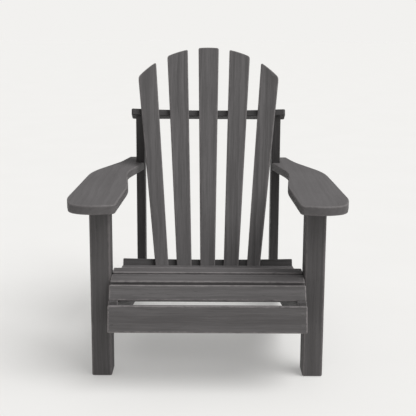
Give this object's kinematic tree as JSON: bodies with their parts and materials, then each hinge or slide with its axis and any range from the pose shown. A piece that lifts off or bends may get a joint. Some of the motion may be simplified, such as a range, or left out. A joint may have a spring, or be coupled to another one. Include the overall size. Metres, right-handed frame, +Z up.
{
  "type": "adirondack chair",
  "caption": "Slatted adirondack garden chair with a fanned arched back, sloping seat, wide paddle arms and square front legs, in dark grey stained wood.",
  "frame": {"origin": "on the floor under the middle of the chair's bounding box", "axes": "+Z up; the sitter faces -Y; +X is towards the right of somebody looking at the chair's front"},
  "size_m": [0.7644, 0.9095, 0.8856],
  "materials": {
    "arm_wood": "matt charcoal stain over lengthwise grain, worn paler at the edges",
    "seat_wood": "matt charcoal stain over lengthwise grain, worn paler at the edges",
    "back_wood": "matt charcoal stain over lengthwise grain, worn paler at the edges",
    "frame_wood": "matt charcoal stain over lengthwise grain",
    "wood_plugs": "matt charcoal stain on end grain",
    "raw_dowel": "unstained beech",
    "zinc_fasteners": "dark coated steel"
  },
  "bodies": {
    "root": {"apron_plugs": "wood_plugs", "apron_screws": "zinc_fasteners", "arm_dowels": "raw_dowel", "arm_left": "arm_wood", "arm_right": "arm_wood", "arm_screws": "zinc_fasteners", "back_slat_centre": "back_wood", "back_slat_inner_left": "back_wood", "back_slat_inner_right": "back_wood", "back_slat_outer_left": "back_wood", "back_slat_outer_right": "back_wood", "bolt_nuts": "zinc_fasteners", "bolt_washers": "zinc_fasteners", "front_apron": "seat_wood", "front_leg_left": "frame_wood", "front_leg_right": "frame_wood", "leg_bolts": "zinc_fasteners", "lower_back_rail": "frame_wood", "lower_back_screws": "zinc_fasteners", "lower_rail_screws": "zinc_fasteners", "rear_upright_left": "frame_wood", "rear_upright_right": "frame_wood", "seat_plugs": "wood_plugs", "seat_screws": "zinc_fasteners", "seat_slat_1": "seat_wood", "seat_slat_2": "seat_wood", "seat_slat_3": "seat_wood", "seat_slat_4": "seat_wood", "seat_slat_5": "seat_wood", "seat_slat_6": "seat_wood", "seat_slat_7": "seat_wood", "seat_slat_8": "seat_wood", "stringer_left": "frame_wood", "stringer_right": "frame_wood", "upper_back_rail": "frame_wood", "upper_back_screws": "zinc_fasteners", "upper_rail_screws": "zinc_fasteners", "upright_bolts": "zinc_fasteners"}
  },
  "joints": []
}
